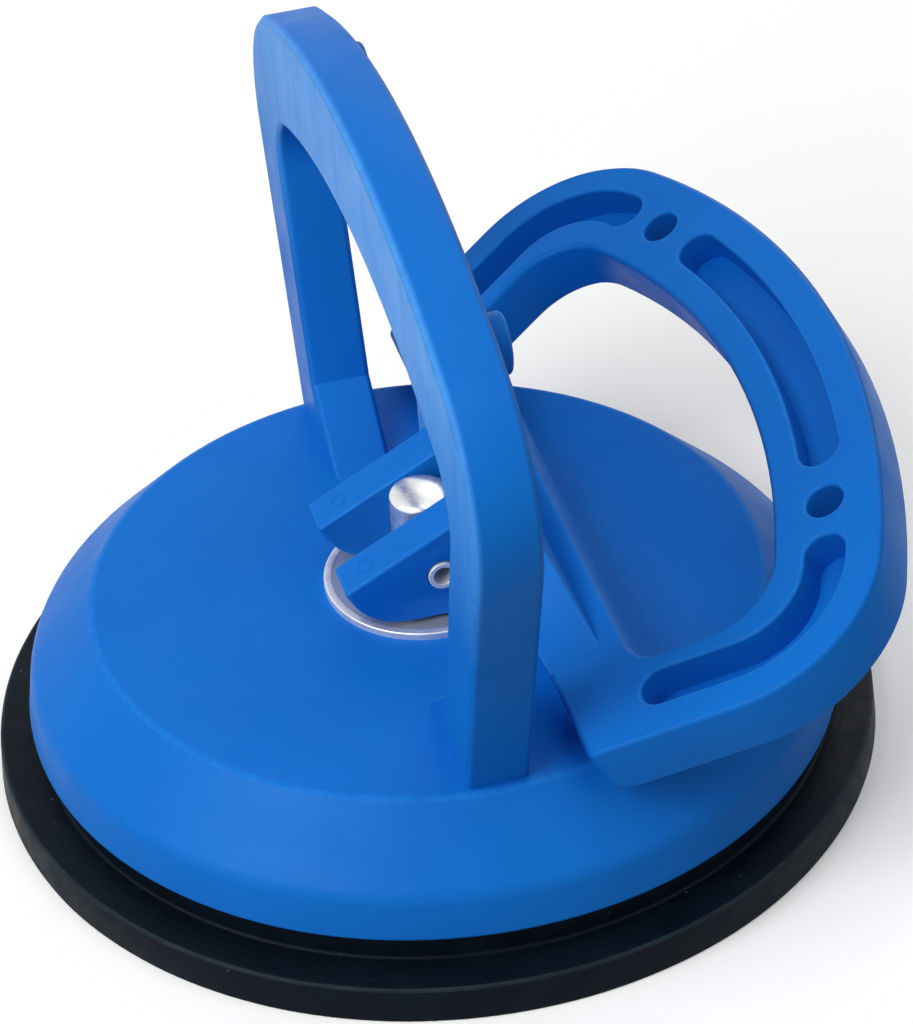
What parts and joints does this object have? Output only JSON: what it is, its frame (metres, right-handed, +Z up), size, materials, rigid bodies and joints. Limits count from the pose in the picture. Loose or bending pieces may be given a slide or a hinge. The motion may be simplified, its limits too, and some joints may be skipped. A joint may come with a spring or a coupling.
{
  "type": "floor tile suction lifter",
  "caption": "Hand-held suction lifter: a round rubber pad under a moulded housing with a fixed arched handle, and a cam lever handle that closes against it to make the vacuum.",
  "frame": {"origin": "centre of the pad, on the surface that it rests on", "axes": "+Z up along the stud, +X towards the open lever, Y along the hinge pin; the part is mirror-symmetric about the XZ plane"},
  "size_m": [0.118, 0.118, 0.0938],
  "materials": {
    "blue_plastic": "satin moulded plastic, mid blue",
    "black_rubber": "matte black rubber",
    "bright_steel": "bright plated steel",
    "plain_steel": "plain steel"
  },
  "bodies": {
    "base": {"base_housing": "blue_plastic", "suction_pad": "black_rubber", "thrust_washer": "bright_steel"},
    "stud": {"pull_stud": "bright_steel", "anchor_plate": "plain_steel", "roll_pin": "bright_steel"},
    "lever": {"lever_handle": "blue_plastic"}
  },
  "joints": [
    {"name": "stud_lift", "type": "slide", "parent": "base", "child": "stud", "axis": [0, 0, 1], "range_m": [0, 0.0052], "deforming": ["suction_pad"]},
    {"name": "lever_swing", "type": "hinge", "parent": "stud", "child": "lever", "pos_m": [0, 0, 0.0315], "axis": [0, -1, 0], "range_deg": [0, 62.66]}
  ],
  "couplings": [
    {"joint": "stud_lift", "follows": "lever_swing", "m_per_rad": 0.004754}
  ]
}
